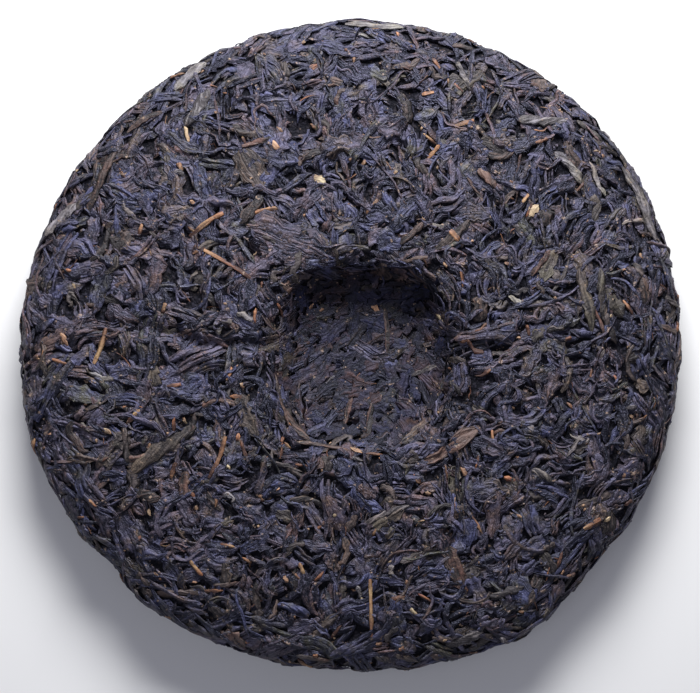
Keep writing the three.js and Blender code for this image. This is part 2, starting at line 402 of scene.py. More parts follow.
def leaf_spine(leaf, place, heading):
    """The stations of a leaf on the flat face: how far along it they are, its middle
    line and the way across it, its share of the full width, its width and thickness."""
    t = np.linspace(0, 1, leaf["stations"])
    hook = leaf["hook"] * np.maximum(t - 0.6, 0) ** 2
    sway = leaf["wave"] * np.sin(2 * math.pi * (leaf["sways"] * t + leaf["phase"]))
    ripple = np.sin(2 * math.pi * (3.1 * leaf["sways"] * t + 2 * leaf["phase"]))
    sway = sway + 0.5 * leaf["wave"] * ripple
    turn = heading + leaf["bend"] * (2 * t - 1) + sway + hook
    steps = np.stack([np.cos(turn), np.sin(turn)], 1) * leaf["length"] / (leaf["stations"] - 1)
    line = np.cumsum(steps, 0)
    across = np.stack([-np.sin(turn), np.cos(turn)], 1)
    taper = leaf_taper(leaf, t)
    width, thick = leaf["width"] * taper, leaf["thick"] * taper**0.7
    return t, line - line.mean(0) + place, across, taper, width, thick


def smoothed(values, reach):
    padded = np.pad(values, reach, mode="edge")
    return np.convolve(padded, np.ones(2 * reach + 1) / (2 * reach + 1), mode="valid")


def section_angles(leaf):
    """Where the corners of a leaf's section lie. A flat one has all but one on top."""
    if leaf["flat"]:
        return np.append(np.linspace(0, math.pi, leaf["sides"] - 1), 1.5 * math.pi)
    return np.arange(leaf["sides"]) / leaf["sides"] * 2 * math.pi


def leaf_section(leaf, spine, round_about):
    """How far aside of the middle line and how far up from its underside each corner of
    a leaf lies."""
    t, _, _, taper, width, thick = (values[:, None] for values in spine)
    beat = 2 * math.pi * (t + leaf["phase"])
    angle = round_about + (leaf["twist"] * t + leaf["spin"]) * 2 * math.pi
    furrow = leaf["furrows"] * (0.6 + 0.4 * np.sin(leaf["fades"] * beat))
    swellings = leaf["length"] / SWELLING_SPACING * beat
    ragged = 1 + leaf["jag"] * np.sin(swellings + 1.4 * np.cos(angle))
    rho = (leaf["profile"] - furrow) * ragged
    folds = sum(np.sin(n * np.cos(angle) + d * beat) for n, d in leaf["wrinkles"])
    off = rho * np.cos(angle) * width / 2
    up = (rho * np.sin(angle) + 1) * thick / 2
    return off, up + leaf["folds"] * folds * taper


def raise_bed(bed, leaf, spine, base):
    """Raises the bed to a leaf's rounded top."""
    t, line, across, _, width, thick = spine
    fine = np.linspace(0, 1, max(3, round(leaf["length"] / TOP_STEP)))
    reach = np.linspace(-1, 1, max(3, round(leaf["width"] / TOP_STEP)))

    def between(values):
        return np.interp(fine, t, values)[:, None]

    off = between(width) / 2 * reach
    top = between(base) + between(thick) * (0.5 + 0.5 * np.sqrt(1 - reach**2 * 0.98))
    u = between(line[:, 0]) + between(across[:, 0]) * off
    v = between(line[:, 1]) + between(across[:, 1]) * off
    bed.lay(u, v, top + leaf["roll"] * off)


def lay_leaf(bed, leaf, place, heading):
    """Lays one leaf on the bed. Returns its vertices on the flat face as u, v and lift,
    and for each the distance along it, across it and round it."""
    spine = leaf_spine(leaf, place, heading)
    t, line, across, _, width, _ = spine
    rests = line[:, None] + across[:, None] * (width[:, None] * RESTS)[..., None]
    under = bed.at(rests[..., 0], rests[..., 1]).mean(1)
    base = smoothed(under, max(1, round(STIFF_LENGTH / leaf["length"] * leaf["stations"])))
    base = base - leaf["sink"] - leaf["dive"] * np.abs(2 * t - 1) ** 5

    round_about = section_angles(leaf)
    off, up = leaf_section(leaf, spine, round_about)
    u = line[:, 0, None] + across[:, 0, None] * off
    v = line[:, 1, None] + across[:, 1, None] * off
    lift = base[:, None] + up + leaf["roll"] * off
    if leaf["drape"]:
        lift = lift + leaf["drape"] * (bed.at(u, v) - under[:, None])
    raise_bed(bed, leaf, spine, base)

    girth = leaf["width"] / 2
    grain = [
        t[:, None] * leaf["length"],
        leaf["grain"] + np.cos(round_about) * girth,
        np.sin(round_about) * girth,
    ]
    return np.stack([u, v, lift], -1), np.stack([np.broadcast_to(g, u.shape) for g in grain], -1)


# The share of leaves whose end is hooked, and how far places are scattered, as a share
# of the gap between them.
HOOKED_SHARE = 0.3
SCATTER = 0.35


def drawn_leaf(kind, **changes):
    """One leaf of a kind, with its own drawn size and shape."""
    spread = kind["spread"]
    size = rng.uniform(1 - spread, 1 + spread)
    furrows = kind["furrows"] * rng.uniform(0.3, 1.1, kind["sides"])
    furrows[np.arange(kind["sides"]) % FURROW_SPACING > 0] = 0
    leaf = dict(
        kind,
        length=kind["length"] * size * rng.uniform(0.85, 1.2),
        width=kind["width"] * size**0.4 * rng.uniform(0.75, 1.3),
        thick=kind["thick"] * rng.uniform(0.75, 1.2),
        bend=rng.normal(0, kind["bend"]) * 0.6,
        wave=rng.normal(0, kind["wave"]),
        hook=rng.normal(0, 4 * kind["bend"]) if rng.random() < HOOKED_SHARE else 0,
        sways=rng.uniform(0.6, 1.6),
        phase=rng.random(),
        spin=0 if kind["flat"] else rng.random(),
        twist=kind["twist"] * rng.uniform(-1.5, 1.5),
        profile=rng.uniform(0.92, 1.12, kind["sides"]),
        furrows=furrows,
        fades=rng.uniform(0.5, 3, kind["sides"]),
        folds=kind["folds"] * rng.uniform(0.5, 1.4),
        wrinkles=[(rng.uniform(3, 5), rng.normal(0, 0.8)), (rng.uniform(6, 9), rng.normal(0, 1.4))],
        roll=rng.normal(0, 0.1),
        taper=rng.uniform(0.06, 0.45, 2),
        tip=rng.uniform(0.12, 0.5),
        sink=rng.uniform(0, 0.5) * kind["thick"],
        dive=rng.uniform(0, 0.9),
        grain=rng.uniform(0, 400),
    )
    leaf.update(changes)
    return leaf


def spread_places(count, reach):
    """Places spread evenly over a disc by the sunflower rule, then scattered a little."""
    i = np.arange(count) + 0.5
    radius = reach * np.sqrt(i / max(count, 1))
    turn = rng.uniform(0, 2 * math.pi) + i * math.pi * (3 - math.sqrt(5))
    gap = reach * math.sqrt(math.pi / max(count, 1))
    scatter = rng.normal(0, SCATTER * gap, (count, 2))
    return np.stack([radius * np.cos(turn), radius * np.sin(turn)], 1) + scatter


# Where leaves follow something: the radii of the dimple's lip, how far a crease and the
# rim reach, the share of leaves that follow the crease, the lip or their neighbours,
# and the mean and spread of headings on the dimple's floor and the spread at the rim.
LIP_BAND = (30, 43)
CREASE_BAND = 5
RIM_BAND = 15
CREASE_SHARE = 0.75
LIP_SHARE = 0.65
SWIRL_SHARE = 0.45
FLOOR_HEADING = (0.3, 0.6)
RIM_TURN = 0.6


def swirl(place):
    """The way that neighbouring leaves share, which changes slowly over the face."""
    turns = [
        most * math.sin(k * (place[0] * math.cos(way) + place[1] * math.sin(way)) + phase)
        for k, way, phase, most in SWIRLS
    ]
    return sum(turns)


def crease_heading(place):
    """The heading of a crease that passes near a place, or None."""
    for start, end, _, _ in CREASE_LINES:
        along = end - start
        t = np.clip(np.dot(place - start, along) / (along @ along), 0, 1)
        if math.hypot(*(place - start - t * along)) < CREASE_BAND:
            return math.atan2(along[1], along[0])
    return None


def heading_at(face, place):
    """Leaves lie in bundles that share a way, or any way. They follow the edge at the
    rim, sweep round the dimple's lip and follow the creases of the cloth."""
    distance = math.hypot(*place)
    round_about = math.atan2(place[1], place[0]) + math.pi / 2
    if distance > REACH[face] - RIM_BAND:
        return round_about + rng.normal(0, RIM_TURN)
    draw = rng.random()
    if face == "back":
        if distance < DIMPLE_FLOOR_RADIUS + 4:
            return rng.normal(*FLOOR_HEADING)
        along_crease = crease_heading(place)
        if along_crease is not None and draw < CREASE_SHARE:
            return along_crease + rng.normal(0, 0.25)
        if LIP_BAND[0] < distance < LIP_BAND[1] and draw < LIP_SHARE:
            return round_about + rng.normal(0, 0.4)
    if draw < SWIRL_SHARE:
        return swirl(place) + rng.normal(0, 0.4)
    return rng.uniform(0, 2 * math.pi)


class Heap:
    """The leaves of one kind: for each face their vertices, grain and tone."""

    def __init__(self):
        self.flat, self.grain, self.tone = ({face: [] for face in FACES} for _ in range(3))

    def add(self, face, laid, tone):
        self.flat[face].append(laid[0])
        self.grain[face].append(laid[1])
        self.tone[face].append(tone)


heaps = {name: Heap() for name in KINDS}

# How a leaf's lightness and share of brown are drawn, and how much the strands of a bundle differ. In
# the dimple a leaf's lightness is scaled from side to side, between the places DIMPLE_SIDES across it:
# painted light and shade, set together with the lining's dark colours to the brightness of the dimple's
# shaded wall and floor.
LIGHTNESS_DRAW = (4, 4.3)
BROWN_DRAW = (0.75, 1.35)
TONE_DRIFT = 0.1
DIMPLE_PAINTED_LIGHTNESS = (1.15, 1.2)
DIMPLE_SIDES = (-20, 12)


def leaf_tone(kind, place, in_dimple):
    """Three draws for a leaf's colour: lightness, share of brown, and from olive to red."""
    lightness = rng.beta(*LIGHTNESS_DRAW) * kind["light"]
    brown = min(rng.beta(*BROWN_DRAW) * kind["brown"], 1)
    # Painted light and shade: lightness in the dimple is scaled by where the leaf lies across it.
    if in_dimple:
        lightness *= np.interp(place[1], DIMPLE_SIDES, DIMPLE_PAINTED_LIGHTNESS)
    return np.array([lightness, brown, rng.random()])


def tone_along(tone, kind):
    """The tone at each station of a leaf, lighter or browner towards one end."""
    slope = rng.normal(0, kind["fade"], 3)
    return np.clip(tone + slope * np.linspace(-1, 1, kind["stations"])[:, None], 0, 1)


def in_flat_patch(place):
    return any(math.hypot(*(place - centre)) < reach for centre, reach in FLAT_CENTRES)


# What the strands of a bundle share, and how strands in the dimple are stretched.
SHARED = ("bend", "wave", "hook", "sways", "phase", "roll", "twist", "folds")
DIMPLE_STRETCH = dict(length=1.4, width=1.2, thick=0.35)


def left_out(name, place, in_dimple):
    """Whether a leaf of the back face stays away: most kinds from the dimple, and many
    strands from the flat patches."""
    if in_dimple and name not in DIMPLE_KINDS:
        return True
    return not KINDS[name]["flat"] and in_flat_patch(place) and rng.random() > STRANDS_LEFT


def lay_bundle(bed, face, name, place):
    """Lays one leaf, or a few strands side by side that curve alike."""
    kind = KINDS[name]
    distance = math.hypot(*place)
    in_dimple = face == "back" and distance < DIMPLE_RADIUS
    if face == "back" and left_out(name, place, in_dimple):
        return
    heading = heading_at(face, place)
    tone = leaf_tone(kind, place, in_dimple)
    shared = drawn_leaf(kind)
    if distance > REACH[face] - RIM_BAND:
        shared.update(bend=shared["length"] / (2 * REACH[face]), wave=shared["wave"] * 0.4, hook=0)
    if in_dimple:
        shared.update(twist=0, folds=shared["folds"] * 0.4)
    turn = np.array([[math.cos(heading), -math.sin(heading)], [math.sin(heading), math.cos(heading)]])
    strands = rng.integers(*kind["bundle"])
    for strand in range(strands):
        leaf = drawn_leaf(kind)
        leaf.update({key: shared[key] for key in SHARED})
        leaf["length"] = shared["length"] * rng.uniform(0.7, 1.05)
        if in_dimple and name != "pressed_flakes":
            leaf.update({key: leaf[key] * share for key, share in DIMPLE_STRETCH.items()})
        aside = (strand - (strands - 1) / 2) * leaf["width"] * 0.92
        ahead = rng.normal(0, 0.1) * leaf["length"]
        laid = lay_leaf(bed, leaf, place + turn @ [ahead, aside], heading + rng.normal(0, 0.05))
        heaps[name].add(face, laid, tone_along(tone + rng.normal(0, TONE_DRIFT, 3), kind))


# The kinds that fill hollows, how many places each fills on a face, and how many
# places are looked at.
HOLLOW_KINDS = ["flat_flakes", "short_leaves", "fine_leaves"] * 2
HOLLOWS = 45
HOLLOW_TRIES = 2500


def fill_hollows(bed, face, reach):
    """Lays more leaves where the bed is lowest, so that the core is covered all over."""
    for name in HOLLOW_KINDS:
        places = spread_places(HOLLOW_TRIES, reach)
        height = blurred(bed.height, 4)[bed.cells(*places.T)]
        for place in places[np.argsort(height)[:HOLLOWS]]:
            lay_bundle(bed, face, name, place)


def patch_places():
    """Places for the flakes that fill the flat patches."""
    for centre, reach in FLAT_CENTRES:
        for place in spread_places(round(math.pi * reach**2 / FLAKE_AREA), reach):
            yield centre + place


def lay_face(face):
    """Lays every leaf of a face, in order, and returns its bed."""
    reach = REACH[face] + WRAP[face]
    bed = Bed(reach + BED_BORDER)
    queue = []
    for name, kind in KINDS.items():
        bundles = round(kind["count"][FACES.index(face)] / (sum(kind["bundle"]) - 1) * 2)
        places = spread_places(bundles, DIMPLE_RADIUS if name == "pressed_flakes" else reach - 2)
        orders = rng.uniform(*kind["order"], len(places))
        queue += [(order, name, place) for order, place in zip(orders, places)]
    if face == "back":
        queue += [(rng.uniform(0.3, 0.9), "flat_flakes", place) for place in patch_places()]
    queue.sort(key=lambda item: item[0])
    for _, name, place in queue:
        lay_bundle(bed, face, name, place)
    fill_hollows(bed, face, reach - 2)
    return bed


# Pieces that catch the eye in the photograph: their kind, where they start and end in
# it, their width, and their tone: lightness, share of brown, and from olive to red.
FEATURES = {
    "golden stem at the foot": ("stems", (370, 578), (372, 636), 1.2, (1.0, 0.9, 0.2)),
    "orange stem, lower left": ("stems", (226, 436), (211, 478), 1.5, (0.45, 0.3, 0.3)),
    "orange stem, upper left": ("stems", (223, 213), (189, 236), 1.4, (0.75, 0.5, 0.3)),
    "golden stem, left": ("stems", (106, 327), (95, 364), 1.3, (0.9, 0.8, 0.3)),
    "brown stem with orange tip": ("stems", (204, 250), (253, 279), 1.4, (0.2, 0.8, 1.0)),
    "stem by the flake": ("stems", (252, 214), (278, 208), 1.3, (0.7, 0.4, 0.4)),
    "short gold, low left": ("stems", (190, 560), (202, 575), 1.2, (1.0, 0.9, 0.2)),
    "short gold, low middle": ("stems", (299, 562), (304, 573), 1.2, (1.0, 0.9, 0.3)),
    "stick below the dimple": ("pale_leaves", (365, 522), (409, 504), 1.9, (0.25, 0.6, 0.9)),
    "pale stem, upper right": ("pale_leaves", (588, 163), (606, 196), 1.5, (1.0, 0.7, 0.5)),
    "red stem in the dimple": ("brown_leaves", (385, 308), (388, 354), 1.5, (0.3, 1.0, 1.0)),
    "red stem, right": ("brown_leaves", (591, 300), (608, 346), 1.1, (0.45, 1.0, 1.0)),
    "orange twig, right": ("pale_leaves", (622, 224), (646, 219), 1.2, (0.9, 0.9, 1.0)),
    "twig at the bottom rim": ("brown_leaves", (296, 655), (331, 660), 1.7, (0.6, 0.3, 0.5)),
    "orange twig, lower right": ("stems", (583, 528), (600, 518), 1.6, (0.7, 0.4, 0.5)),
    "stick on the dimple's right": ("pale_leaves", (411, 375), (436, 365), 1.2, (0.1, 0.5, 0.8)),
    "fine stem, far left": ("brown_leaves", (35, 372), (47, 350), 0.9, (0.5, 0.1, 0.5)),
    "thick stem on the right rim": ("pale_leaves", (624, 166), (657, 240), 3.2, (0.5, 0.4, 0.5)),
    "strip on the top rim": ("pale_leaves", (345, 23), (404, 28), 2.6, (0.6, 0.6, 0.2)),
    "long red-brown leaf, left rim": ("brown_leaves", (118, 148), (85, 212), 2.3, (0.35, 0.4, 0.9)),
    "folded leaf, left rim": ("pale_leaves", (76, 204), (45, 236), 3.0, (0.65, 0.2, 0.6)),
    "broad brown leaf": ("brown_flakes", (424, 461), (481, 427), 4.6, (0.95, 0.6, 0.8)),
    "olive leaf, lower left": ("brown_leaves", (128, 472), (196, 425), 4.2, (0.6, 0.6, 0.2)),
    "large flat brown leaf": ("flat_flakes", (246, 228), (332, 264), 13, (0.45, 0.6, 0.8)),
    "olive leaf, left of the dimple": ("brown_flakes", (240, 394), (256, 436), 5.0, (0.45, 0.6, 0.3)),
    "olive leaf, right": ("brown_leaves", (580, 268), (592, 332), 3.6, (0.5, 0.8, 0.15)),
    "olive leaf, right, second": ("brown_leaves", (600, 268), (604, 320), 2.6, (0.35, 0.8, 0.15)),
    "golden-green leaf": ("brown_flakes", (556, 250), (541, 283), 3.8, (0.95, 0.9, 0.05)),
    "pinkish leaf": ("brown_leaves", (551, 250), (531, 276), 1.8, (0.5, 1.0, 1.0)),
    "knotted pale stem": ("pale_leaves", (555, 152), (583, 182), 2.6, (0.55, 0.5, 0.2)),
    "olive oval leaf, far left": ("brown_flakes", (130, 232), (114, 252), 5.0, (0.25, 0.9, 0.6)),
    "reddish leaf, low left": ("brown_leaves", (138, 490), (160, 500), 3.6, (0.2, 0.3, 1.0)),
    "pale leaf, upper left": ("pale_leaves", (209, 90), (186, 127), 3.4, (0.25, 0.2, 0.3)),
    "pale leaf, top": ("pale_leaves", (205, 62), (174, 90), 3.2, (0.8, 0.2, 0.3)),
    "brown leaf below the lip": ("brown_leaves", (286, 408), (310, 440), 2.2, (0.45, 0.5, 0.8)),
    "leaf over the dimple's edge": ("brown_leaves", (436, 250), (470, 222), 3.0, (0.3, 0.4, 0.5)),
    "brown leaf, low middle": ("brown_flakes", (372, 527), (404, 508), 3.8, (0.7, 0.8, 0.2)),
    "leaf at the top right": ("brown_flakes", (459, 88), (483, 72), 3.8, (0.35, 0.7, 0.2)),
    "brown strip on the top": ("brown_leaves", (262, 196), (240, 224), 3.2, (0.3, 0.4, 0.7)),
    "yellow bud": ("buds", (184, 126), (189, 143), 1.3, (1.0, 0.6, 0.2)),
    "pale flake, upper middle": ("buds", (314, 176), (325, 186), 3.2, (0.85, 0.9, 0.1)),
    "pale flake, right": ("buds", (527, 216), (539, 206), 3.0, (0.9, 0.8, 0.1)),
    "pale flake in the dimple": ("buds", (371, 305), (379, 311), 1.9, (0.9, 0.3, 0.9)),
    "orange bit in the dimple": ("buds", (310, 310), (315, 303), 0.9, (0.7, 0.3, 0.9)),
    "orange bit in the dimple, second": ("buds", (320, 312), (324, 308), 0.8, (0.7, 0.3, 0.9)),
    "pale bit by the dimple": ("buds", (433, 314), (442, 322), 1.2, (0.9, 0.9, 0.1)),
    "orange bit, low": ("buds", (282, 574), (289, 582), 1.4, (0.6, 0.2, 0.9)),
    "pale bit, lower left": ("buds", (101, 428), (111, 433), 1.4, (0.6, 0.6, 0.2)),
    "pale bit, right": ("buds", (461, 466), (467, 476), 1.6, (0.4, 0.4, 0.8)),
    "long stem under the dimple": ("brown_leaves", (297, 440), (352, 449), 1.3, (0.5, 0.7, 0.8)),
    "orange end of that stem": ("buds", (350, 446), (363, 451), 1.5, (0.5, 0.5, 0.6)),
    "strand on the dimple's left": ("brown_leaves", (277, 372), (290, 424), 1.4, (0.55, 0.5, 0.7)),
    "light leaf, dimple's lower right": ("brown_flakes", (404, 436), (428, 415), 2.6, (0.65, 0.6, 0.5)),
    "reddish leaf, dimple's foot": ("brown_leaves", (352, 397), (344, 424), 1.6, (0.35, 1.0, 1.0)),
    "red-brown leaf, dimple's foot": ("brown_leaves", (372, 404), (368, 432), 2.2, (0.0, 1.0, 1.0)),
    "pale crest left of the dimple": ("pale_leaves", (237, 313), (254, 320), 2.2, (0.4, 0.5, 0.4)),
    "brown leaf above the dimple": ("brown_leaves", (400, 243), (424, 224), 2.4, (0.5, 0.8, 0.9)),
    "blue flake above the dimple": ("flat_flakes", (379, 238), (401, 247), 5.0, (0.5, 0.0, 0.0)),
    "orange bit above the dimple": ("stems", (450, 231), (459, 241), 1.7, (0.7, 0.3, 0.5)),
    "red bit right of the dimple": ("stems", (466, 338), (478, 353), 1.2, (0.1, 0.6, 1.0)),
    "orange bit at the top": ("stems", (422, 95), (434, 93), 1.1, (0.8, 0.4, 0.4)),
    "orange curl at the top": ("stems", (455, 127), (474, 121), 1.2, (0.7, 0.4, 0.4)),
    "pinkish flake, upper right": ("brown_leaves", (478, 170), (496, 188), 2.6, (0.75, 0.8, 0.8)),
    "thin stem, upper right": ("brown_leaves", (467, 178), (484, 203), 1.0, (0.4, 0.6, 0.9)),
    "pale curved leaf at the top": ("pale_leaves", (457, 62), (470, 90), 2.0, (0.4, 0.4, 0.4)),
    "grey leaf, upper right": ("pale_leaves", (518, 120), (566, 123), 3.0, (0.3, 0.3, 0.4)),
    "brown stem, low left": ("stems", (176, 462), (171, 478), 1.2, (0.3, 0.4, 0.5)),
    "dark red stem, left": ("stems", (241, 440), (246, 456), 1.1, (0.15, 0.3, 1.0)),
    "dark stem, left": ("stems", (284, 436), (280, 458), 1.1, (0.2, 0.3, 0.9)),
    "red-brown flake, low left": ("brown_flakes", (186, 470), (183, 497), 3.2, (0.5, 0.9, 0.9)),
    "red bit, left": ("stems", (167, 386), (181, 384), 1.2, (0.4, 0.4, 0.8)),
    "orange bit, far left": ("buds", (60, 331), (68, 346), 1.7, (0.45, 0.4, 0.9)),
    "large grey-brown flake": ("brown_flakes", (240, 150), (264, 190), 9.0, (0.45, 0.5, 0.5)),
    "pink bit on the flake": ("buds", (270, 142), (280, 150), 2.0, (0.6, 0.4, 0.7)),
    "orange bit, upper left": ("buds", (178, 162), (182, 171), 1.6, (0.6, 0.4, 0.8)),
    "orange bit by the stem": ("buds", (190, 201), (196, 205), 1.3, (0.6, 0.4, 0.8)),
    "brown strand, upper left rim": ("brown_leaves", (126, 132), (162, 112), 2.0, (0.5, 0.6, 1.0)),
    "red-brown strand": ("brown_leaves", (241, 147), (273, 138), 1.4, (0.35, 0.9, 1.0)),
    "pinkish strand, right": ("pale_leaves", (567, 456), (579, 438), 1.5, (0.35, 0.8, 0.9)),
    "pale leaf, right": ("pale_leaves", (532, 469), (552, 480), 2.4, (0.2, 0.7, 0.6)),
    "golden flake, low": ("brown_flakes", (394, 526), (387, 538), 2.4, (0.85, 0.8, 0.1)),
    "long dark stem": ("curly_stems", (456, 456), (460, 522), 1.4, (0.25, 0.8, 0.3)),
    "pale curl, right rim": ("buds", (604, 521), (611, 515), 1.2, (0.9, 0.8, 0.2)),
    "thin brown strand, low": ("brown_leaves", (414, 573), (396, 603), 1.0, (0.5, 0.6, 0.8)),
    "pale curl, low": ("buds", (409, 606), (417, 614), 1.2, (1.0, 0.8, 0.1)),
    "ridged piece at the foot": ("pale_leaves", (446, 645), (484, 632), 3.2, (0.15, 0.2, 0.5)),
    "long strand, lower right rim": ("long_leaves", (515, 636), (563, 604), 1.8, (0.6, 0.1, 0.2)),
    "reddish flake, low right": ("brown_flakes", (448, 546), (462, 588), 5.5, (0.3, 0.8, 0.95)),
    "orange bit at the foot": ("buds", (398, 650), (405, 646), 1.6, (0.7, 0.4, 0.9)),
    "olive leaf, low right": ("pale_leaves", (490, 596), (524, 586), 2.4, (0.05, 0.5, 0.3)),
}


def lay_features(bed):
    """Lays the pieces that catch the eye, on top of all others."""
    for name, start, end, width, tone in FEATURES.values():
        kind = KINDS[name]
        a, b = under_photo(start), under_photo(end)
        along = b - a
        leaf = drawn_leaf(
            kind, length=math.hypot(*along), width=width,
            thick=max(0.5, min(kind["thick"], 0.6 * width)), bend=rng.normal(0, 0.12),
            wave=kind["wave"] * rng.normal(0, 0.25), hook=0, sink=0.15, dive=0.3, roll=0,
            tip=0.8 if name == "stems" else 0.35, taper=(0.15, 0.2))
        if kind["flat"]:
            leaf["furrows"] = leaf["furrows"] * 0.35
        laid = lay_leaf(bed, leaf, (a + b) / 2, math.atan2(along[1], along[0]))
        heaps[name].add("back", laid, tone_along(tone, kind))


def ring_quads(rings, sides):
    """Corner numbers of the quads between rings of corners."""
    ring, side = np.meshgrid(np.arange(rings - 1), np.arange(sides), indexing="ij")
    a = ring * sides + side
    b = ring * sides + (side + 1) % sides
    return np.stack([a, b, b + sides, a + sides], -1).reshape(-1, 4)


def faces_of(count, stations, sides, inward):
    """Corner numbers of the quads round each leaf and of the caps at its ends."""
    quads = ring_quads(stations, sides)
    first = np.arange(sides)[::-1]
    last = (stations - 1) * sides + np.arange(sides)
    caps = np.stack([first, last])
    if inward:
        quads, caps = quads[:, ::-1], caps[:, ::-1]
    starts = (np.arange(count) * stations * sides)[:, None, None]
    return (quads + starts).reshape(-1, 4), (caps + starts).reshape(-1, sides)


def sharp_edges(mesh, kind):
    """Marks the furrows and the broken ends of each leaf as sharp."""
    ends = np.empty(2 * len(mesh.edges), np.int32)
    mesh.edges.foreach_get("vertices", ends)
    a, b = np.sort(ends.reshape(-1, 2), axis=1).T
    sides, stations = kind["sides"], kind["stations"]
    furrow = (b - a == sides) & (a % sides % FURROW_SPACING == 0)
    ring = a // sides % stations
    broken = (a // sides == b // sides) & ((ring == 0) | (ring == stations - 1))
    sharp = mesh.attributes.new("sharp_edge", "BOOLEAN", "EDGE")
    sharp.data.foreach_set("value", furrow | broken)


def make_mesh(name, vertices, polygons, attributes):
    """A smooth mesh in metres from vertices and a list of arrays of corner numbers."""
    mesh = bpy.data.meshes.new(name)
    corners = np.concatenate([p.ravel() for p in polygons])
    totals = np.concatenate([np.full(len(p), p.shape[1]) for p in polygons])
    starts = np.cumsum(totals) - totals
    mesh.vertices.add(len(vertices))
    mesh.vertices.foreach_set("co", (vertices * MM).astype(np.float32).ravel())
    mesh.loops.add(len(corners))
    mesh.loops.foreach_set("vertex_index", corners.astype(np.int32))
    mesh.polygons.add(len(totals))
    mesh.polygons.foreach_set("loop_start", starts.astype(np.int32))
    mesh.polygons.foreach_set("use_smooth", np.ones(len(totals), bool))
    mesh.update(calc_edges=True)
    for key, values in attributes.items():
        attribute = mesh.attributes.new(key, "FLOAT_VECTOR", "POINT")
        attribute.data.foreach_set("vector", values.astype(np.float32).ravel())
    if name in KINDS:
        sharp_edges(mesh, KINDS[name])
    piece = bpy.data.objects.new(name, mesh)
    bpy.context.scene.collection.objects.link(piece)
    return piece


# A leaf is left out when fewer of its corners than this share lie less than this far
# under the bed's top.
BURIED_SHARE = 0.06
BURIED = 0.25


def shows(bed, flat):
    """Which leaves aren't buried under others."""
    above = flat[..., 2] - bed.at(flat[..., 0], flat[..., 1])
    return (above > -BURIED).mean(axis=(1, 2)) > BURIED_SHARE


def heap_arrays(name, heap, beds):
    """All vertices of a kind on the cake, with their corner numbers and attributes."""
    stations, sides = KINDS[name]["stations"], KINDS[name]["sides"]
    vertices, grain, tone, polygons = [], [], [], []
    start = 0
    for face in filter(heap.flat.get, FACES):
        flat = np.array(heap.flat[face])
        seen = shows(beds[face], flat)
        flat = flat[seen]
        lift = pressed(face, flat[..., 0], flat[..., 1], flat[..., 2])
        vertices.append(on_cake(face, flat[..., 0], flat[..., 1], lift).reshape(-1, 3))
        grain.append(np.array(heap.grain[face])[seen].reshape(-1, 3))
        tone.append(np.repeat(np.array(heap.tone[face])[seen].reshape(-1, 3), sides, axis=0))
        polygons += [p + start for p in faces_of(len(flat), stations, sides, face == "front")]
        start += len(vertices[-1])
    attributes = {"grain": np.concatenate(grain), "tone": np.concatenate(tone)}
    return np.concatenate(vertices), polygons, attributes


# The leaf's grain: waves for each millimetre along, across and up.
RIDGES = (0.09, 0.62, 0.62)
CRUMPLE = (0.5, 0.6, 0.6)

# The core under the leaves: its mesh, how far below the leaves' top it lies, how far inside the rim its
# front face ends, and its tone, which is dark so that the gaps between leaves show painted shade.
CORE_SIDES = 180
CORE_RINGS = 84
CORE_DROP = 0.9
CORE_SEAM = 6
CORE_TONE = [0.25, 0.3, 0.5]


def core_arrays(beds):
    """The core: a closed skin that follows the leaves, a little lower. Its ridges are as
    fine along x as across."""
    turn = np.arange(CORE_SIDES) / CORE_SIDES * 2 * math.pi
    rings = []
    for distance in np.linspace(0, LENGTH, CORE_RINGS)[1:-1]:
        face = "front" if distance < REACH["front"] - CORE_SEAM else "back"
        reach = distance if face == "front" else LENGTH - distance
        u, v = reach * np.cos(turn), reach * np.sin(turn)
        lift = np.minimum(pressed(face, u, v, beds[face].at(u, v)) - CORE_DROP, 0)
        rings.append(on_cake(face, u, v, lift))
    poles = [on_cake(face, 0.0, 0.0, -CORE_DROP) for face in ("front", "back")]
    vertices = np.concatenate([np.concatenate(rings), np.array(poles)])
    front_pole, back_pole = len(vertices) - 2, len(vertices) - 1
    first = np.arange(CORE_SIDES)
    last = (len(rings) - 1) * CORE_SIDES + first
    front_fan = np.stack([np.roll(first, -1), first, np.full(CORE_SIDES, front_pole)], 1)
    back_fan = np.stack([last, np.roll(last, -1), np.full(CORE_SIDES, back_pole)], 1)
    grain = vertices * [RIDGES[1] / RIDGES[0], 1, 1]
    tone = np.tile(CORE_TONE, (len(vertices), 1))
    polygons = [ring_quads(len(rings), CORE_SIDES), front_fan, back_fan]
    return vertices, polygons, {"grain": grain, "tone": tone}


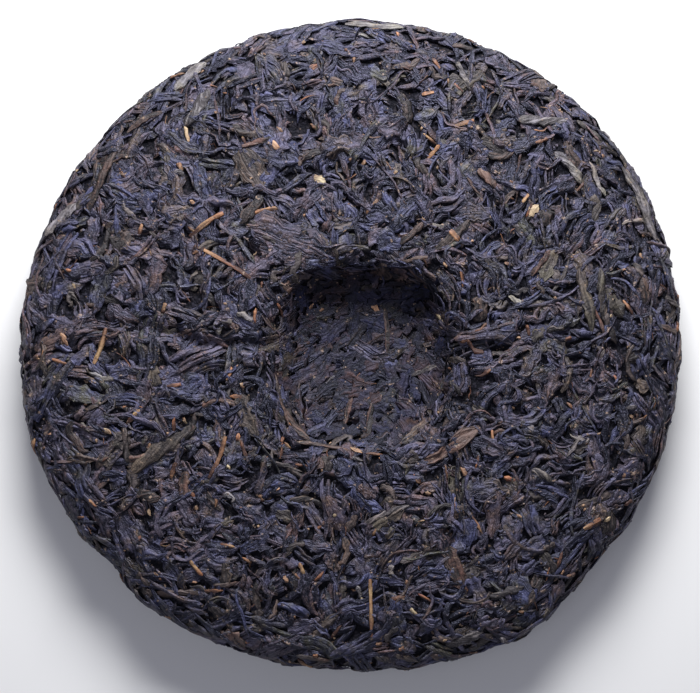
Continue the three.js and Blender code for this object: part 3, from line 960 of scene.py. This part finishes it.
class Nodes:
    """The node tree of a material, with short ways to add to it."""

    def __init__(self, material):
        material.use_nodes = True
        self.tree = material.node_tree
        self.shader = self.tree.nodes["Principled BSDF"]

    def add(self, kind, inputs=(), **settings):
        """A node with its settings and, in order, its inputs: sockets or plain values.
        An input that is None keeps its default."""
        node = self.tree.nodes.new(kind)
        for key, value in settings.items():
            setattr(node, key, value)
        for socket, value in zip([i for i in node.inputs if i.enabled], inputs):
            if isinstance(value, bpy.types.NodeSocket):
                self.tree.links.new(value, socket)
            elif value is not None:
                socket.default_value = value
        return next(o for o in node.outputs if o.enabled)

    def attribute(self, name):
        node = self.tree.nodes.new("ShaderNodeAttribute")
        node.attribute_name = name
        return node.outputs["Vector"]

    def math(self, operation, a, b, clamp=False):
        return self.add("ShaderNodeMath", (a, b), operation=operation, use_clamp=clamp)

    def swing(self, value, gain):
        """How far a value is off a half, times a gain."""
        return self.math("MULTIPLY", self.math("SUBTRACT", value, 0.5), gain)

    def mix(self, share, a, b):
        kind = "RGBA" if isinstance(a, tuple) or getattr(a, "type", "") == "RGBA" else "FLOAT"
        return self.add("ShaderNodeMix", (share, a, b), data_type=kind)

    def noise(self, vector, scale, detail=3.0, roughness=0.6):
        node = self.tree.nodes.new("ShaderNodeTexNoise")
        for key, value in (("Scale", scale), ("Detail", detail), ("Roughness", roughness)):
            node.inputs[key].default_value = value
        self.tree.links.new(vector, node.inputs["Vector"])
        return node.outputs["Fac"]

    def stretched(self, vector, scale):
        return self.add("ShaderNodeMapping", (vector, None, None, scale))

    def link(self, source, name):
        self.tree.links.new(source, self.shader.inputs[name])


# The finer marks of a leaf, for each metre: specks, blotches of its odd tint, and pale
# flecks, with the levels of noise between which they show and their colour.
SPECKS_A_METRE = 1500
BLOTCHES_A_METRE = 260
FLECKS_A_METRE = 520
FLECK_LEVELS = (0.645, 0.73)
FLECK = (0.24, 0.170, 0.125, 1)

# How strongly crumples and ridges shade a leaf: its colour darkens where they lie low and lightens
# where they stand high, which is painted shade and painted light, partly for the real dark furrows of
# dry leaves. Then how strongly blotches tint it, how steep the ridges are, and how high each stands as
# a share of the crumples' height, which is in metres.
CRUMPLE_PAINTED_SHADE = 1.5
RIDGE_PAINTED_SHADE = 0.8
BLOTCH_TINT_GAIN = 3.2
RIDGE_STEEPNESS = 5.0
RIDGE_SHARE = 0.4
SPECK_SHARE = 0.35
BUMP_HEIGHT = 0.0009


def tea_material(name, colours, sheen, gloss, roughness, bump):
    """Dry rolled leaf: ridges and furrows along it, crumples, fine specks, and a tint of its own. Where
    the relief lies low the colour turns towards the darkest tint, and where it stands high towards the
    plain one, which is painted shade and painted light, partly for real dark furrows. colours are that
    darkest tint, then two plain ones, olive and red."""
    material = bpy.data.materials.new(name)
    n = Nodes(material)
    grain = n.attribute("grain")
    tone = n.tree.nodes.new("ShaderNodeSeparateXYZ")
    n.tree.links.new(n.attribute("tone"), tone.inputs[0])
    lightness, brown, redness = tone.outputs

    wave = n.noise(n.stretched(grain, RIDGES), 1.0, 1.5, 0.5)
    ridge = n.math("ABSOLUTE", n.math("SUBTRACT", wave, 0.5), None)
    ridge = n.math("MULTIPLY", ridge, RIDGE_STEEPNESS, clamp=True)
    crumple = n.noise(n.stretched(grain, CRUMPLE), 1.0, 4.0, 0.6)
    place = n.tree.nodes.new("ShaderNodeTexCoord").outputs["Object"]
    specks = n.noise(place, SPECKS_A_METRE, 3.0, 0.6)

    # Painted shade and light: the crumples, ridges and specks that raise the bump also lighten the
    # colour where they are high and darken it where they are low.
    shade = n.math("ADD", lightness, n.swing(crumple, CRUMPLE_PAINTED_SHADE))
    shade = n.math("ADD", shade, n.swing(ridge, RIDGE_PAINTED_SHADE))
    shade = n.math("ADD", shade, n.math("SUBTRACT", specks, 0.5), clamp=True)
    deep, cool, warm, olive, red = [(*c, 1) for c in colours]
    plain = n.mix(redness, cool, warm)
    odd = n.mix(redness, olive, red)
    blotch = n.noise(place, BLOTCHES_A_METRE, 2.0, 0.5)
    oddness = n.math("ADD", brown, n.swing(blotch, BLOTCH_TINT_GAIN), clamp=True)
    tint = n.mix(oddness, plain, odd)
    fleck = n.noise(place, FLECKS_A_METRE, 2.0, 0.7)
    fleck = n.add("ShaderNodeMapRange", (fleck, *FLECK_LEVELS), interpolation_type="SMOOTHSTEP")
    n.link(n.mix(fleck, n.mix(shade, deep, tint), FLECK), "Base Color")
    n.link(n.mix(specks, *roughness), "Roughness")
    n.shader.inputs["Specular Tint"].default_value = (*sheen, 1)
    n.shader.inputs["Specular IOR Level"].default_value = gloss

    height = n.math("ADD", n.math("MULTIPLY", ridge, RIDGE_SHARE), crumple)
    height = n.math("ADD", height, n.math("MULTIPLY", specks, SPECK_SHARE))
    relief = n.tree.nodes.new("ShaderNodeBump")
    relief.inputs["Strength"].default_value = bump
    relief.inputs["Distance"].default_value = BUMP_HEIGHT
    n.tree.links.new(height, relief.inputs["Height"])
    n.link(relief.outputs[0], "Normal")
    return material


# Each palette's first colour is the darkest tint. It serves for dark leaves and for the painted shade
# in the relief's hollows.
BLUE_BLACK = [
    (0.006, 0.006, 0.008), (0.071, 0.076, 0.153), (0.104, 0.088, 0.116),
    (0.086, 0.082, 0.052), (0.134, 0.078, 0.066)]
BROWN = [
    (0.010, 0.008, 0.008), (0.100, 0.086, 0.088), (0.116, 0.083, 0.073),
    (0.100, 0.089, 0.064), (0.140, 0.070, 0.054)]
PALE = [
    (0.030, 0.026, 0.028), (0.250, 0.242, 0.276), (0.270, 0.238, 0.254),
    (0.256, 0.242, 0.200), (0.270, 0.220, 0.200)]
STEM = [
    (0.050, 0.022, 0.015), (0.320, 0.170, 0.090), (0.360, 0.150, 0.070),
    (0.400, 0.265, 0.135), (0.180, 0.066, 0.046)]
BUD = [
    (0.110, 0.058, 0.036), (0.420, 0.290, 0.180), (0.420, 0.250, 0.160),
    (0.480, 0.415, 0.270), (0.430, 0.190, 0.095)]
# The dimple's lining, far darker than the other leaves: its darkness is painted shade of the dimple.
PRESSED_WITH_PAINTED_SHADE = [
    (0.010, 0.010, 0.012), (0.019, 0.021, 0.050), (0.030, 0.025, 0.038),
    (0.032, 0.030, 0.020), (0.056, 0.029, 0.025)]
# The core: a near-black skin under the leaves, which is painted shade for the gaps between them.
CORE = [
    (0.005, 0.005, 0.006), (0.036, 0.037, 0.058), (0.044, 0.037, 0.052),
    (0.034, 0.030, 0.022), (0.044, 0.030, 0.028)]
BLUE_SHEEN = (0.66, 0.68, 1.0)
PLAIN_SHEEN = (0.95, 0.92, 1.0)

# Each material: its slot's name, its colours, the tint and strength of its sheen, how rough it is at
# least and at most, and how strongly its relief shows.
LOOKS = {
    "blue_black_leaf": ("pressed_tea", BLUE_BLACK, BLUE_SHEEN, 0.5, (0.34, 0.56), 0.9),
    "brown_leaf": ("brown_leaf", BROWN, PLAIN_SHEEN, 0.45, (0.48, 0.68), 0.65),
    "pale_leaf": ("golden_bud", PALE, PLAIN_SHEEN, 0.4, (0.5, 0.7), 0.7),
    "tea_stem": ("tea_stem", STEM, PLAIN_SHEEN, 0.45, (0.5, 0.7), 0.5),
    "golden_bud": ("golden_bud", BUD, PLAIN_SHEEN, 0.4, (0.5, 0.7), 0.5),
    "pressed_leaf": ("pressed_tea", PRESSED_WITH_PAINTED_SHADE, BLUE_SHEEN, 0.28, (0.4, 0.6), 0.75),
    "tea_core": ("pressed_tea", CORE, BLUE_SHEEN, 0.2, (0.6, 0.8), 0.8),
}
MATERIALS = {name: tea_material(name, *look) for name, (_, *look) in LOOKS.items()}
# The material of each piece that isn't blue-black leaf.
PIECE_MATERIALS = {
    "brown_leaves": "brown_leaf",
    "brown_flakes": "brown_leaf",
    "pale_leaves": "pale_leaf",
    "pressed_flakes": "pressed_leaf",
    "stems": "tea_stem",
    "fibres": "tea_stem",
    "buds": "golden_bud",
    "core": "tea_core",
}
# The pieces that stand for the solid.
STAND_INS = ("core", "long_leaves", "short_leaves")


def fitted(arrays):
    """How far to move and stretch all pieces so that their box is the solid's."""
    corners = np.array([[a[0].min(0), a[0].max(0)] for a in arrays.values()])
    lowest, highest = corners[:, 0].min(0), corners[:, 1].max(0)
    stretch = np.array(high - low) / MM / (highest - lowest)
    return np.array(low) / MM - lowest * stretch, stretch


def make_cake():
    """Lays both faces, then makes each kind of leaf and the core one piece. Returns how
    far they were moved."""
    beds = {face: lay_face(face) for face in ("front", "back")}
    lay_features(beds["back"])
    arrays = {name: heap_arrays(name, heap, beds) for name, heap in heaps.items()}
    arrays["core"] = core_arrays(beds)
    shift, stretch = fitted(arrays)
    for name, (vertices, polygons, attributes) in arrays.items():
        piece = make_mesh(name, vertices * stretch + shift, polygons, attributes)
        material = PIECE_MATERIALS.get(name, "blue_black_leaf")
        piece.data.materials.append(MATERIALS[material])
        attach(piece, "root")
        if name in STAND_INS:
            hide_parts(NODE)
    return shift


def make_floor(reach=3.0):
    """A plain pale floor, much wider than the cake. Lengths are in metres from here on."""
    mesh = bpy.data.meshes.new("floor")
    corners = [(-reach, -reach, 0), (reach, -reach, 0), (reach, reach, 0), (-reach, reach, 0)]
    mesh.from_pydata(corners, [], [(0, 1, 2, 3)])
    floor = bpy.data.objects.new("floor", mesh)
    bpy.context.scene.collection.objects.link(floor)
    material = bpy.data.materials.new("floor")
    material.use_nodes = True
    shader = material.node_tree.nodes["Principled BSDF"]
    shader.inputs["Base Color"].default_value = (0.75, 0.75, 0.75, 1)
    shader.inputs["Roughness"].default_value = 0.9
    mesh.materials.append(material)


def make_light(name, place, size, power, colour):
    """A rectangular light that shines at the cake."""
    light = bpy.data.lights.new(name, "AREA")
    light.shape = "RECTANGLE"
    light.size, light.size_y = size
    light.energy = power
    light.color = colour
    lamp = bpy.data.objects.new(name, light)
    bpy.context.scene.collection.objects.link(lamp)
    lamp.location = place
    lamp.rotation_euler = (-Vector(place)).to_track_quat("-Z", "Y").to_euler()


def make_studio():
    """A low light over the dimple's steep side, a wide one from above and a faint sky."""
    make_light("key", (0.03, 0.45, 0.31), (0.30, 0.20), 6.5, (1, 1, 1))
    make_light("fill", (-0.15, -0.3, 0.9), (0.9, 0.9), 2.1, (0.90, 0.91, 1.0))
    world = bpy.data.worlds.new("studio")
    world.use_nodes = True
    sky = world.node_tree.nodes["Background"]
    sky.inputs["Color"].default_value = (0.78, 0.80, 1.0, 1)
    sky.inputs["Strength"].default_value = 0.15
    bpy.context.scene.world = world
    bpy.context.scene.view_settings.view_transform = "Standard"


def make_camera(shift):
    """Looks at the moved cake as the photograph's camera does at its own."""
    data = bpy.data.cameras.new("camera")
    data.lens = LENS
    data.sensor_width = SENSOR
    camera = bpy.data.objects.new("camera", data)
    bpy.context.scene.collection.objects.link(camera)
    camera.location = (AIM + shift - CAMERA_DISTANCE * LOOK) * MM
    camera.rotation_euler = Vector(LOOK).to_track_quat("-Z", "Y").to_euler()
    bpy.context.scene.camera = camera


shift = make_cake()
make_floor()
make_studio()
make_camera(shift)
